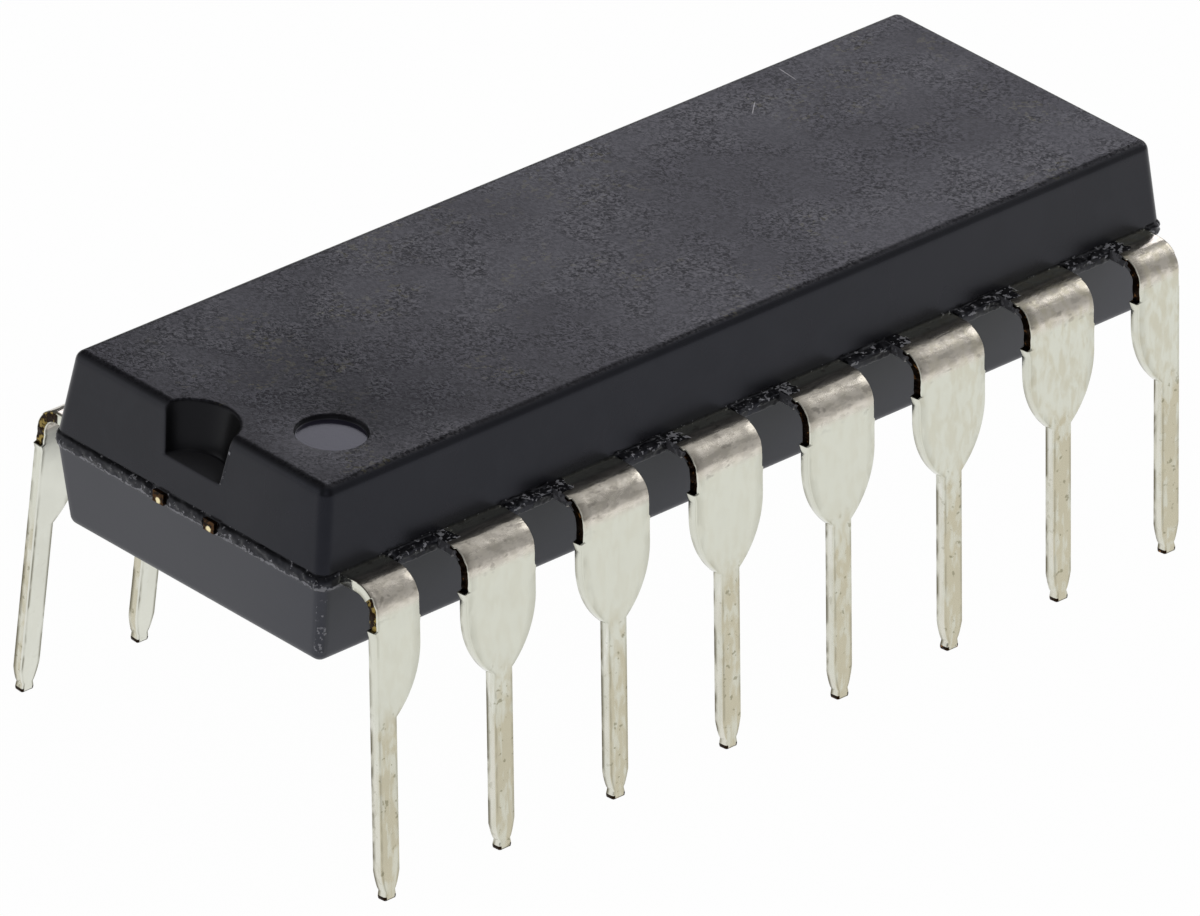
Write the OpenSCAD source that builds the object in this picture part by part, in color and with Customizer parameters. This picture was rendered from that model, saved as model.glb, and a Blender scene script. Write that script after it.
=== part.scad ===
// Sixteen-lead plastic dual in-line package, moulded round a stamped lead frame.
// X runs along the body with the notch at -X, Z = 0 is the plane of the lead tips,
// and the leads are numbered along -Y from the notch end and back along +Y.

/* [Body] */
// Body beyond the centre line of each corner lead
end_overhang = 0.61; // [0.45:0.01:1.2]
// Width of the body at the parting line
body_w = 6.35; // [6.1:0.05:7]
// Height of the moulding above the lead frame
upper_h = 1.5; // [1.3:0.05:2]
// Height of the moulding under the lead frame
lower_h = 1.5; // [1.3:0.05:2]
// Draft of the side walls, in degrees
draft = 7; // [3:0.5:9]
// Radius of the moulded edges
edge_r = 0.19; // [0.06:0.01:0.25]
// Flash that stands out all round the parting line
seam_flash = 0.08; // [0.03:0.01:0.15]
// Flash that the dam bar left between neighbouring leads
dam_flash = 0.2; // [0.1:0.01:0.3]
// Clearance between the dam flash and the leads beside it
flash_gap = 0.05; // [0.02:0.01:0.15]

/* [Orientation marks] */
// Radius of the end notch at the top face
notch_r = 0.8; // [0.5:0.05:1]
// Depth of the end notch
notch_depth = 0.87; // [0.4:0.01:1]
// Draft of the notch wall, in degrees
notch_draft = 10; // [0:1:15]
// Diameter of the lead 1 dot
dot_d = 1.2; // [0.8:0.05:1.5]
// Depth of the lead 1 dot
dot_depth = 0.1; // [0.05:0.01:0.3]
// Lead 1 dot from the notched end of the body
dot_from_end = 1.56; // [1.4:0.02:2.4]
// Lead 1 dot from the centre line of the body
dot_from_middle = 1.64; // [1.4:0.02:1.9]
// Diameter of the ejector marks underneath
ejector_d = 1.6; // [1:0.1:2.4]
// Depth of the ejector marks
ejector_depth = 0.05; // [0.02:0.01:0.1]

/* [Leads] */
// Distance between neighbouring leads of a row
pitch = 2.54; // [2.3:0.01:2.7]
// Thickness of the lead frame
frame_t = 0.2; // [0.18:0.01:0.28]
// Width of a full shoulder
shoulder_w = 1.52; // [1.3:0.02:1.6]
// Width of the blade that goes through the board
blade_w = 0.42; // [0.36:0.01:0.56]
// Length of the blade under the shoulder, which is the seating height
blade_len = 3.25; // [2.9:0.05:3.8]
// Height of the rounded taper from shoulder to blade
taper_h = 1.2; // [0.9:0.05:1.25]
// Gap between the seating plane and the underside of the body
standoff = 0.6; // [0.5:0.05:1]
// Flat run from the body wall to the start of the bend
run_out = 0.375; // [0.3:0.005:0.6]
// Inside radius of the bend
bend_r = 0.28; // [0.2:0.01:0.35]
// Outward splay of the legs, in degrees
splay = 4.6; // [0:0.1:10]
// Width of the blunt tip
tip_w = 0.2; // [0.12:0.01:0.3]
// Length of the pointed stretch at the tip
tip_len = 0.45; // [0.2:0.05:0.8]

/* [Dam bar trim] */
// Depth of the shear where the dam bar was cut away
trim_depth = 0.03; // [0.01:0.01:0.05]
// Angle of the bend at which the shear starts
trim_angle = 45; // [30:1:60]
// Straight length of the leg that was sheared
trim_len = 0.28; // [0.1:0.01:0.3]

/* [Inside the moulding] */
// Depth to which a shoulder runs into the moulding at full width
anchor_len = 0.65; // [0.6:0.01:0.75]
// Diameter of the locking hole that the epoxy fills
lock_d = 0.35; // [0.2:0.01:0.4]
// Width of the bonding fingers
finger_w = 0.28; // [0.22:0.01:0.3]
// Gap between neighbouring parts of the frame
finger_gap = 0.18; // [0.14:0.01:0.2]
// Length of the die pad
pad_l = 4; // [3.8:0.05:4.3]
// Width of the die pad
pad_w = 2.6; // [2.3:0.05:2.7]
// Gap between the die pad and the fingers
pad_gap = 0.25; // [0.2:0.01:0.3]
// Tie bars from the centre line
tie_y = 0.6; // [0.55:0.01:0.65]
// Width of the tie bars
tie_w = 0.25; // [0.2:0.01:0.28]
// Length of the die
die_l = 2.4; // [2.2:0.1:3.2]
// Width of the die
die_w = 1.6; // [1.5:0.1:2]
// Thickness of the die
die_t = 0.3; // [0.2:0.01:0.4]
// Thickness of the die attach layer
attach_t = 0.03; // [0.02:0.005:0.05]
// Diameter of the bond wires
wire_d = 0.03; // [0.025:0.005:0.04]
// Diameter of the bonds at the ends of the wires
bond_d = 0.09; // [0.07:0.01:0.12]
// Thickness of the bonds
bond_h = 0.04; // [0.03:0.005:0.05]
// Angle at which a wire leaves the die
loop_angle = 35; // [25:1:45]

/* [Hidden] */
per_row = 8;
body_l = (per_row - 1) * pitch + 2 * end_overhang;
frame_bottom = blade_len + standoff + lower_h;
frame_top = frame_bottom + frame_t;
body_top = frame_top + upper_h;
body_bottom = frame_bottom - lower_h;
wall_y = body_w / 2;
bend_y = wall_y + run_out;
bend_z = frame_bottom - bend_r;
leg_len = (bend_z + bend_r * sin(splay)) / cos(splay);
half_offset = (shoulder_w - blade_w) / 4;
taper_side = (shoulder_w - blade_w) / 2;
taper_r = (taper_h * taper_h + taper_side * taper_side) / (2 * taper_side);
finger_start = wall_y - anchor_len / 2;
fan_straight = 0.07;
fan_y = wall_y - anchor_len - fan_straight;
lane_pitch = finger_w + finger_gap;
first_lane = tie_y + tie_w / 2 + finger_gap + finger_w / 2;
lane_bend = 0.6;
outer_lane_setback = 0.35;
fan_corner_inset = 0.05;
bond_inset = 0.1;
stitch_inset = 0.13;
seam_lip = 0.01;
die_bottom = frame_top + attach_t;
die_top = die_bottom + die_t;
ejector_x = body_l / 3;
cut = 1;
$fn = 64;

// Centre line of column c of a row, counted from the notch
function column_x(c) = (c - (per_row + 1) / 2) * pitch;
// Centre line of the bonding finger in lane k, counted from the tie bars
function lane_y(k) = -(first_lane + k * lane_pitch);

// Route of the bonding finger of column c of the -X, -Y quarter, from the anchor to the die pad
function finger_path(c) =
    let (x = column_x(c), pad_end = -(pad_l / 2 + pad_gap))
    c == 1 ? [
        [x + half_offset, -finger_start],
        [x + half_offset, lane_y(0) - lane_bend],
        [x + half_offset + lane_bend, lane_y(0)],
        [pad_end, lane_y(0)]
    ] :
    c == 2 ? [
        [x, -finger_start],
        [x, lane_y(1) - lane_bend],
        [x + lane_bend, lane_y(1)],
        [pad_end - outer_lane_setback, lane_y(1)]
    ] :
    c == 3 ? [
        [x, -finger_start],
        [x, -fan_y],
        [fan_corner_inset - pad_l / 2, -(pad_w / 2 + pad_gap + finger_w / 2)]
    ] : [
        [x, -finger_start],
        [x, -(pad_w / 2 + pad_gap)]
    ];

// Where the wire of column c leaves the die: column 1 from the end, the others along the side
function die_bond(c) =
    let (x = die_l / 2 - bond_inset, y = die_w / 2 - bond_inset)
    c == 1 ? [-x, -y / 2] : [-x * (per_row + 1 - 2 * c) / (per_row - 3), -y];

// Where it lands on the finger, a little back from the finger's end
function finger_bond(c) =
    let (p = finger_path(c), last = len(p) - 1, run = p[last] - p[last - 1])
    p[last] - stitch_inset * run / norm(run);

// Sideways step from corner i of path p to its edge, mitred where the path turns
function left_of(a, b) = [a[1] - b[1], b[0] - a[0]] / norm(b - a);
function mitre(p, i) =
    i == 0 ? left_of(p[0], p[1]) :
    i == len(p) - 1 ? left_of(p[i - 1], p[i]) :
    let (n = left_of(p[i - 1], p[i]), m = left_of(p[i], p[i + 1])) (n + m) / (1 + n * m);

// Flat strip of width w along path p
module strip(p, w) {
    polygon(concat(
        [for (i = [0 : len(p) - 1]) p[i] + mitre(p, i) * w / 2],
        [for (i = [len(p) - 1 : -1 : 0]) p[i] - mitre(p, i) * w / 2]
    ));
}

// Copy of a shape of the -X, -Y quarter to the place of lead n
module at_lead(n) {
    mirror([0, n > per_row ? 1 : 0, 0])
        mirror([n > per_row / 2 && n <= 3 * per_row / 2 ? 1 : 0, 0, 0])
            children();
}
// Column of the -X, -Y quarter that lead n is a copy of
function quarter_column(n) =
    let (c = n > per_row ? 2 * per_row + 1 - n : n) min(c, per_row + 1 - c);

// Half of the moulding: drafted walls with rounded corners that rise by h from the lead frame
module mould_half(h) {
    rise = h - edge_r;
    inset = rise * tan(draft) + edge_r / cos(draft);
    hull() {
        for (sx = [-1, 1], sy = [-1, 1]) {
            translate([sx * (body_l / 2 - edge_r), sy * (wall_y - edge_r), 0])
                cylinder(r = edge_r, h = seam_lip, $fn = 32);
            translate([sx * (body_l / 2 - inset), sy * (wall_y - inset), rise])
                sphere(r = edge_r, $fn = 32);
        }
    }
}

// Seam of the moulding, as thick as the lead frame
module seam() {
    x = body_l / 2 + seam_flash;
    y = wall_y + seam_flash;
    translate([0, 0, frame_bottom])
        linear_extrude(frame_t) {
            square([2 * x, 2 * (y - edge_r)], center = true);
            square([2 * (x - edge_r), 2 * y], center = true);
            for (sx = [-1, 1], sy = [-1, 1])
                translate([sx * (x - edge_r), sy * (y - edge_r)])
                    circle(edge_r);
        }
}

// Flash that fills the frame between leads c and c + 1 of both rows
module dam_flash_block(c) {
    left = column_x(c) + shoulder_w / 2 + flash_gap;
    width = pitch - shoulder_w - 2 * flash_gap;
    translate([left, -wall_y - dam_flash, frame_bottom])
        cube([width, 2 * (wall_y + dam_flash), frame_t]);
}

module notch() {
    translate([-body_l / 2, 0, body_top - notch_depth])
        cylinder(r1 = notch_r - notch_depth * tan(notch_draft), r2 = notch_r, h = notch_depth);
    translate([-body_l / 2, 0, body_top])
        cylinder(r = notch_r, h = cut);
}

module lead_1_dot() {
    translate([dot_from_end - body_l / 2, -dot_from_middle, body_top - dot_depth])
        cylinder(d = dot_d, h = dot_depth + cut);
}

module ejector_marks() {
    for (sx = [-1, 1])
        translate([sx * ejector_x, 0, body_bottom - cut])
            cylinder(d = ejector_d, h = cut + ejector_depth);
}

// Flat part of a lead of column c: the run through the wall, the anchor with its lock hole and the finger
module lead_flat(c) {
    x = column_x(c);
    left = c == 1 ? blade_w / 2 : shoulder_w / 2;
    hole_x = c == 1 ? x + half_offset : x;
    translate([0, 0, frame_bottom])
        difference() {
            union() {
                translate([x - left, -bend_y, 0])
                    cube([left + shoulder_w / 2, run_out + anchor_len, frame_t]);
                linear_extrude(frame_t)
                    strip(finger_path(c), finger_w);
            }
            translate([hole_x, -finger_start, -cut])
                cylinder(d = lock_d, h = frame_t + 2 * cut);
        }
}

// Stretch of the bend from angle a to angle b, w wide, about the axis of the bend
module bend(a, b, w) {
    rotate([0, 90, 0])
        rotate([0, 0, 180 + a])
            rotate_extrude(angle = b - a)
                translate([bend_r, -w / 2])
                    square([frame_t, w]);
}

// Front outline of the leg, drawn with its tip at the origin
module leg_outline() {
    taper_top = blade_len + taper_h;
    straight = leg_len - trim_len - taper_top;
    translate([-shoulder_w / 2, taper_top])
        square([shoulder_w, straight]);
    translate([trim_depth - shoulder_w / 2, leg_len - trim_len])
        square([shoulder_w - 2 * trim_depth, trim_len]);
    intersection() {
        intersection_for(side = [-1, 1])
            translate([side * (taper_r - shoulder_w / 2), taper_top])
                circle(taper_r);
        translate([-shoulder_w / 2, blade_len])
            square([shoulder_w, taper_h]);
    }
    polygon([
        [-tip_w / 2, 0], [tip_w / 2, 0],
        [blade_w / 2, tip_len], [blade_w / 2, blade_len],
        [-blade_w / 2, blade_len], [-blade_w / 2, tip_len]
    ]);
}

// Formed part of a full lead: bend, shoulder, taper and blade
module lead_formed() {
    bend(0, trim_angle, shoulder_w);
    bend(trim_angle, 90 - splay, shoulder_w - 2 * trim_depth);
    rotate([-splay, 0, 0])
        translate([0, -bend_r, -leg_len])
            rotate([90, 0, 0])
                linear_extrude(frame_t)
                    leg_outline();
}

// A lead of column c of the -X, -Y quarter; the corner lead keeps only the inner half of its shoulder
module quarter_lead(c) {
    lead_flat(c);
    translate([column_x(c), -bend_y, bend_z])
        if (c == 1)
            difference() {
                lead_formed();
                translate([-blade_w / 2 - shoulder_w, -leg_len / 2, -leg_len - cut])
                    cube([shoulder_w, leg_len, 2 * leg_len]);
            }
        else
            lead_formed();
}

// Wire of column c: one round arc from the ball on the die to the stitch on the finger.
// The chord dips from die to finger, so the arc turns through twice the angle between
// its first direction and the chord, and its radius follows from the chord's length.
module quarter_wire(c) {
    from = die_bond(c);
    run = finger_bond(c) - from;
    reach = norm(run);
    drop = die_top - frame_top;
    swing = loop_angle + atan2(drop, reach);
    arc_r = norm([reach, drop]) / (2 * sin(swing));
    translate([from[0], from[1], die_top])
        rotate([0, 0, atan2(run[1], run[0])]) {
            cylinder(d = bond_d, h = bond_h);
            translate([reach, 0, -drop])
                cylinder(d = bond_d, h = bond_h);
            translate([arc_r * sin(loop_angle), 0, bond_h / 2 - arc_r * cos(loop_angle)])
                rotate([90, 0, 0])
                    rotate([0, 0, 90 + loop_angle - 2 * swing])
                        rotate_extrude(angle = 2 * swing)
                            translate([arc_r, 0])
                                circle(d = wire_d);
        }
}

module lead(n) {
    color("gainsboro")
        at_lead(n)
            quarter_lead(quarter_column(n));
}

module bond_wire(n) {
    color("gold")
        at_lead(n)
            quarter_wire(quarter_column(n));
}

module die_pad() {
    color("peru")
        translate([0, 0, frame_bottom]) {
            translate([-pad_l / 2, -pad_w / 2, 0])
                cube([pad_l, pad_w, frame_t]);
            for (side = [-1, 1])
                translate([-body_l / 2 - seam_flash, side * tie_y - tie_w / 2, 0])
                    cube([body_l + 2 * seam_flash, tie_w, frame_t]);
        }
}

module die_attach() {
    color("silver")
        translate([-die_l / 2, -die_w / 2, frame_top])
            cube([die_l, die_w, attach_t]);
}

module die() {
    color("slategray")
        translate([-die_l / 2, -die_w / 2, die_bottom])
            cube([die_l, die_w, die_t]);
}

module body() {
    color([0.2, 0.2, 0.22])
        difference() {
            union() {
                translate([0, 0, frame_top])
                    mould_half(upper_h);
                translate([0, 0, frame_bottom])
                    mirror([0, 0, 1])
                        mould_half(lower_h);
                seam();
                for (c = [1 : per_row - 1])
                    dam_flash_block(c);
            }
            notch();
            lead_1_dot();
            ejector_marks();
            die_pad();
            die_attach();
            die();
            for (n = [1 : 2 * per_row])
                at_lead(n) {
                    lead_flat(quarter_column(n));
                    quarter_wire(quarter_column(n));
                }
        }
}

body();
die_pad();
die_attach();
die();
lead(1);  // lead_1
lead(2);  // lead_2
lead(3);  // lead_3
lead(4);  // lead_4
lead(5);  // lead_5
lead(6);  // lead_6
lead(7);  // lead_7
lead(8);  // lead_8
lead(9);  // lead_9
lead(10);  // lead_10
lead(11);  // lead_11
lead(12);  // lead_12
lead(13);  // lead_13
lead(14);  // lead_14
lead(15);  // lead_15
lead(16);  // lead_16
bond_wire(1);  // bond_wire_1
bond_wire(2);  // bond_wire_2
bond_wire(3);  // bond_wire_3
bond_wire(4);  // bond_wire_4
bond_wire(5);  // bond_wire_5
bond_wire(6);  // bond_wire_6
bond_wire(7);  // bond_wire_7
bond_wire(8);  // bond_wire_8
bond_wire(9);  // bond_wire_9
bond_wire(10);  // bond_wire_10
bond_wire(11);  // bond_wire_11
bond_wire(12);  // bond_wire_12
bond_wire(13);  // bond_wire_13
bond_wire(14);  // bond_wire_14
bond_wire(15);  // bond_wire_15
bond_wire(16);  // bond_wire_16
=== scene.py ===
import math

import bmesh
import bpy
import numpy as np
from bpy.props import FloatProperty, FloatVectorProperty, PointerProperty
from mathutils import Matrix, Vector
from mathutils.geometry import delaunay_2d_cdt


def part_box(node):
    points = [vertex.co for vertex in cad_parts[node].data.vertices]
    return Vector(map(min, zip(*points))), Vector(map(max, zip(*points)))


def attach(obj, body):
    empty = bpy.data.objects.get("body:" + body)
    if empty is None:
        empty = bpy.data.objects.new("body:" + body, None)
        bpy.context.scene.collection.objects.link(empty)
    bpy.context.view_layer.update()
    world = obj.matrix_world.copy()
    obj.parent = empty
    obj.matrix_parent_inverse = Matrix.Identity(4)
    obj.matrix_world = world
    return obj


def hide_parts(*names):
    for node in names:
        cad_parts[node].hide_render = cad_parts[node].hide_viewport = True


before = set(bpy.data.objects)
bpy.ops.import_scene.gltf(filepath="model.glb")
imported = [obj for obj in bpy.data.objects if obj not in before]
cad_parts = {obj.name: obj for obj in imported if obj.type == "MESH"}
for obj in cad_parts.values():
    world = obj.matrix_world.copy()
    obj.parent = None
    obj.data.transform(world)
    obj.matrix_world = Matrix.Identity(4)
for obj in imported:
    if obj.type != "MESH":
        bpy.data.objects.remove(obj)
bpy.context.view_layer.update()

bl_info = {
    "name": "Dual in-line package",
    "version": (1, 0, 0),
    "blender": (4, 5, 0),
    "location": "View3D > Sidebar > Package",
    "description": "Moulded body, formed leads and studio for a sixteen-lead package",
    "category": "Add Mesh",
}

MM = 0.001
PER_ROW = 8

# Light of the surroundings: the even part, and the wide soft lights by azimuth and elevation
# in degrees and strength. Then the round lamps: place, diameter and power in watts.
SURROUND = 0.1
SOFT_LIGHTS = ((45, 8, 0.36), (225, 8, 0.98), (90, 38, 0.48), (-45, 30, 0.5), (0, 90, 0.35))
LAMPS = (
    ("far_softbox", (0.0865, 0.0740, 0.0606), 0.06, 0.0152, (0.98, 0.97, 1.06)),
    ("right_softbox", (0.150, -0.020, 0.100), 0.10, 0.0283, (1.0, 1.0, 1.0)),
)
LAMPS_AIM = 0, 0, 0.004

# How bright the floor looks to the camera and in reflections.
FLOOR_SEEN, FLOOR_MIRRORED = 0.985, 0.87

# Faint scratches on the top face, from and to, in metres.
SCRATCHES = (((0.00629, 0.00277), (0.00622, 0.00222)), ((0.00518, 0.00216), (0.00479, 0.00183)))

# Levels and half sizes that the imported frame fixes, in metres.
BODY_LOW, BODY_HIGH = (np.array(c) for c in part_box("body"))
FRAME_LOW, FRAME_HIGH = (c.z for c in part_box("die_pad"))
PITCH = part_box("lead_3")[0].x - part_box("lead_2")[0].x
THICK = FRAME_HIGH - FRAME_LOW

# The body's seam: heights over the frame's underside in mm, each with the share of the flash
# that stands out there. A negative share is a groove.
SEAM_PROFILE = (
    (-0.06, 0), (-0.035, 0.12), (-0.015, 0.45), (0.0, 0.8), (0.02, 0.95), (0.05, 1), (0.08, 0.94),
    (0.11, 0.97), (0.14, 0.9), (0.165, 0.85), (0.185, 0.62), (0.2, 0.2), (0.215, -0.3), (0.235, -0.35),
    (0.25, 0.0))
CRUMBS_BY_HEIGHT = (-0.08, -0.04, 0.02, 0.05, 0.13), (0, 1, 1, 0.25, 0.1)
# Share of black painted shade along the seam by height, for its groove and pits.
PIT_SHADE_BY_HEIGHT = (0.03, 0.06, 0.1, 0.15, 0.19, 0.26), (0.1, 1, 0.6, 0.3, 1, 1)

SUPPORT = 0.03 * MM  # distance of the extra loop that keeps a face flat beside a rounded edge
FOOT = 0.04 * MM  # rounding where the notch's wall meets its floor
SHARPEST = 0.01 * MM  # upright edges of the rings that close the flat faces
TIE_Y = 0.6 * MM  # the tie bars' ends, either side of the middle of an end face

# A slab of flash between two shoulders: stations along it, and its ends from the leads' centre
# lines.
SLAB_STATIONS = 44
SLAB_FROM, SLAB_TO = 0.80 * MM, 0.766 * MM

# A lead: the step at each end of the shear, and the stub and the neck that the coining leaves
# at the tip, by distance from the end.
SHEAR_STEP = 0.012 * MM
STUB, NECK = 0.065 * MM, 0.16 * MM

# Inside the moulding: width of a finger, radius of a locking hole, and how far the middle of
# a half shoulder lies from the lead's centre line.
FINGER, LOCK_HOLE, HALF_MIDDLE = 0.28 * MM, 0.175 * MM, 0.275

# Bands along a lead, by distance from the tip in mm, over which one finish passes into the next.
BLADE_TO_SHOULDER = 2.9, 3.6
SHOULDER_TO_BEND = 5.0, 5.2
BEND_TO_RUN = 5.75, 5.85


def linear(red, green, blue):
    """Linear colour of three screen values in 0..255, by the screen's own curve."""
    c = np.array([red, green, blue]) / 255
    return tuple(np.where(c <= 0.04045, c / 12.92, ((c + 0.055) / 1.055) ** 2.4))


def column_x(column):
    """Centre line of a column of leads: columns stand a pitch apart about the middle."""
    return (column - (PER_ROW + 1) / 2) * PITCH


# Sizes and colours.


def length_property(name, description, mm):
    return FloatProperty(name=name, description=description, default=mm * MM, unit="LENGTH", precision=5)


def angle_property(name, description, degrees):
    return FloatProperty(name=name, description=description, default=math.radians(degrees), subtype="ANGLE")


def colour_property(name, description, *screen):
    """A colour by its three screen values in 0..255."""
    return FloatVectorProperty(
        name=name, description=description, default=linear(*screen), size=3, subtype="COLOR")


class PackageMoulding(bpy.types.PropertyGroup):
    draft: angle_property("Draft", "Lean of the side walls", 7)
    edge: length_property("Edge radius", "Radius of the moulded edges", 0.19)
    rim: length_property("Rim radius", "Rounding of the notch and of the dot", 0.025)
    flash: length_property("Seam flash", "How far the seam stands out", 0.08)
    dam_flash: length_property("Dam flash", "How far the flash between the leads stands out", 0.2)
    notch_radius: length_property("Notch radius", "Radius of the end notch at the top face", 0.8)
    notch_depth: length_property("Notch depth", "Depth of the end notch", 0.87)
    notch_draft: angle_property("Notch draft", "Lean of the notch wall", 10)
    dot_radius: length_property("Dot radius", "Radius of the lead 1 dot", 0.6)
    dot_depth: length_property("Dot depth", "Depth of the lead 1 dot", 0.1)
    dot_from_end: length_property("Dot from end", "Lead 1 dot from the notched end", 1.56)
    dot_from_middle: length_property("Dot from middle", "Lead 1 dot from the centre line", 1.64)
    ejector_radius: length_property("Ejector radius", "Radius of the ejector marks", 0.8)
    ejector_depth: length_property("Ejector depth", "Depth of the ejector marks", 0.05)


class PackageLeads(bpy.types.PropertyGroup):
    shoulder: length_property("Shoulder width", "Width of a full shoulder", 1.52)
    blade: length_property("Blade width", "Width of the blade", 0.43)
    blade_length: length_property("Blade length", "Blade from the tip to the taper", 3.2)
    taper: length_property("Taper height", "Height of the rounded taper", 1.18)
    bend: length_property("Bend radius", "Inside radius of the bend", 0.28)
    splay: angle_property("Splay", "Outward lean of the legs", 4.6)
    run_out: length_property("Run-out", "Flat run from the wall to the bend", 0.375)
    anchor: length_property("Anchor", "Depth of the full width inside the moulding", 0.65)
    tip: length_property("Tip width", "Width of the blunt tip", 0.2)
    tip_length: length_property("Tip length", "Length of the pointed stretch", 0.45)
    trim_angle: angle_property("Trim angle", "Where on the bend the shear starts", 45)
    trim_length: length_property("Trim length", "Straight length of the shear", 0.28)
    trim_depth: length_property("Trim depth", "Depth of the shear", 0.04)
    edge: length_property("Edge radius", "Rounding of the stamped edges", 0.03)


class PackageFinish(bpy.types.PropertyGroup):
    epoxy: colour_property("Epoxy", "Moulding compound", 24, 24, 27)
    # Paler than the epoxy above: partly the lower mould half's duller finish, partly painted light from the
    # floor.
    lower: colour_property("Lower half", "Moulding compound below the seam", 62, 63, 66)
    torn: colour_property("Torn epoxy", "Chips in the flash", 164, 164, 170)
    plating: colour_property("Plating", "Tin on the leads", 220, 221, 208)
    tarnish: colour_property("Tarnish", "Tarnish on the blades", 202, 195, 170)
    copper: colour_property("Copper", "Bare metal of the frame", 176, 122, 66)
    silicon: colour_property("Silicon", "The die", 92, 98, 112)
    gold: colour_property("Gold", "The bond wires", 248, 205, 116)


class PackageStage(bpy.types.PropertyGroup):
    camera: FloatVectorProperty(
        name="Camera", description="Place of the camera",
        default=(-177.745 * MM, -176.900 * MM, 142.939 * MM), size=3, subtype="TRANSLATION")
    azimuth: angle_property("Azimuth", "Side from which the camera looks", -45.104)
    elevation: angle_property("Elevation", "Height of the camera's view", 29.157)
    roll: angle_property("Roll", "Turn of the picture", 2.872)
    lens: FloatProperty(
        name="Lens", description="Focal length in millimetres", default=525.05)
    sky: FloatProperty(
        name="Sky", description="Strength of the surroundings", default=1.0)
    key: FloatProperty(
        name="Lamps", description="Strength of the lamps", default=1.0)


# Numbers and meshes.


def value_noise(p, seed):
    """Smooth noise in 0..1 at points p: random numbers on the corners of unit cells,
    blended with the weight 3t^2 - 2t^3 along each axis."""
    cell = np.floor(p)
    t = p - cell
    t = t * t * (3 - 2 * t)
    total = 0
    for corner in np.ndindex(2, 2, 2):
        step = np.array(corner)
        h = np.sin((cell + step) @ np.array([127.1, 311.7, 74.7]) + seed) * 43758.5453
        total = total + np.prod(np.where(step, t, 1 - t), axis=-1) * (h - np.floor(h))
    return total


def grain(p, size, seed):
    """Two octaves of value noise in -1..1 with features of the given size."""
    return (value_noise(p / size, seed) * 2 + value_noise(p / size * 2.3, seed + 9)) / 1.5 - 1


def build(name, points, faces, uv=None, floats=None):
    """Mesh object from a whole array of points and a list of face arrays, one array for
    each number of corners; uv has one row for each corner, floats one value for each point."""
    mesh = bpy.data.meshes.new(name)
    mesh.vertices.add(len(points))
    mesh.vertices.foreach_set("co", np.asarray(points, np.float32).ravel())
    corners = np.concatenate([f.ravel() for f in faces]).astype(np.int32)
    totals = np.concatenate([np.full(len(f), f.shape[1]) for f in faces])
    mesh.loops.add(len(corners))
    mesh.loops.foreach_set("vertex_index", corners)
    mesh.polygons.add(len(totals))
    mesh.polygons.foreach_set("loop_start", np.concatenate([[0], np.cumsum(totals)[:-1]]).astype(np.int32))
    if uv is not None:
        mesh.uv_layers.new(name="along").data.foreach_set("uv", np.asarray(uv, np.float32).ravel())
    for key, values in (floats or {}).items():
        mesh.attributes.new(key, "FLOAT", "POINT").data.foreach_set("value", np.asarray(values, np.float32))
    mesh.update(calc_edges=True)
    mesh.validate()
    obj = bpy.data.objects.new(name, mesh)
    bpy.context.scene.collection.objects.link(obj)
    return obj


def finish_shells(obj, merge, sharp):
    """Merges points closer than merge, turns every closed shell outward, and shades smooth
    except over edges sharper than the given angle."""
    bm = bmesh.new()
    bm.from_mesh(obj.data)
    bmesh.ops.remove_doubles(bm, verts=bm.verts, dist=merge)
    bmesh.ops.recalc_face_normals(bm, faces=bm.faces)
    bm.to_mesh(obj.data)
    bm.free()
    mesh = obj.data
    mesh.polygons.foreach_set("use_smooth", np.ones(len(mesh.polygons), bool))
    mesh.set_sharp_from_angle(angle=sharp)
    return obj


def tube_faces(rings, around, first=0):
    """Quads between consecutive closed rings of points that are stored ring by ring."""
    i, j = np.meshgrid(np.arange(rings - 1), np.arange(around), indexing="ij")
    k = (j + 1) % around
    quads = np.stack([i * around + j, i * around + k, (i + 1) * around + k, (i + 1) * around + j], axis=-1)
    return first + quads.reshape(-1, 4)


def fill(loops):
    """Triangles between closed plan loops: the first is the outline, the others are holes.
    Returns indices into the loops' points taken one after another."""
    sizes = [len(loop) for loop in loops]
    starts = np.concatenate([[0], np.cumsum(sizes)[:-1]])
    edges = [
        (int(s + k), int(s + (k + 1) % n)) for s, n in zip(starts, sizes) for k in range(n)]
    flat = np.concatenate(loops) / MM
    out = delaunay_2d_cdt([Vector(p) for p in flat.tolist()], edges, [], 2, 1e-9)
    points, triangles, source = out[0], out[2], out[3]
    if len(points) != len(flat):
        raise ValueError("loops of a flat face touch or cross")
    triangles = np.array([s[0] for s in source])[np.array(triangles)]
    # A triangle with all three corners on one hole lies inside that hole.
    loop_of = np.repeat(np.arange(len(loops)), sizes)[triangles]
    in_hole = (loop_of[:, 0] > 0) & (loop_of == loop_of[:, :1]).all(axis=1)
    return triangles[~in_hole]


# The moulded body.


def side(p, q, n):
    """n even steps from p towards q at every level: p + (q - p) t."""
    t = (np.arange(n) / n)[None, :, None]
    return p[:, None] + (q - p)[:, None] * t


def arc(centre, radius, a, b, n):
    """n even steps of angle from a towards b on a circle at every level."""
    t = np.arange(n)[None, :] / n
    angle = np.reshape(a, (-1, 1)) * (1 - t) + np.reshape(b, (-1, 1)) * t
    turn = np.stack([np.cos(angle), np.sin(angle)], axis=-1)
    return centre[:, None] + np.reshape(radius, (-1, 1, 1)) * turn


def corner_curve(p, middle, q, n):
    """n steps of the quadratic curve from p to q that leaves and meets along middle."""
    t = (np.arange(n) / n)[None, :, None]
    return p[:, None] * (1 - t) ** 2 + middle[:, None] * 2 * t * (1 - t) + q[:, None] * t ** 2


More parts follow.
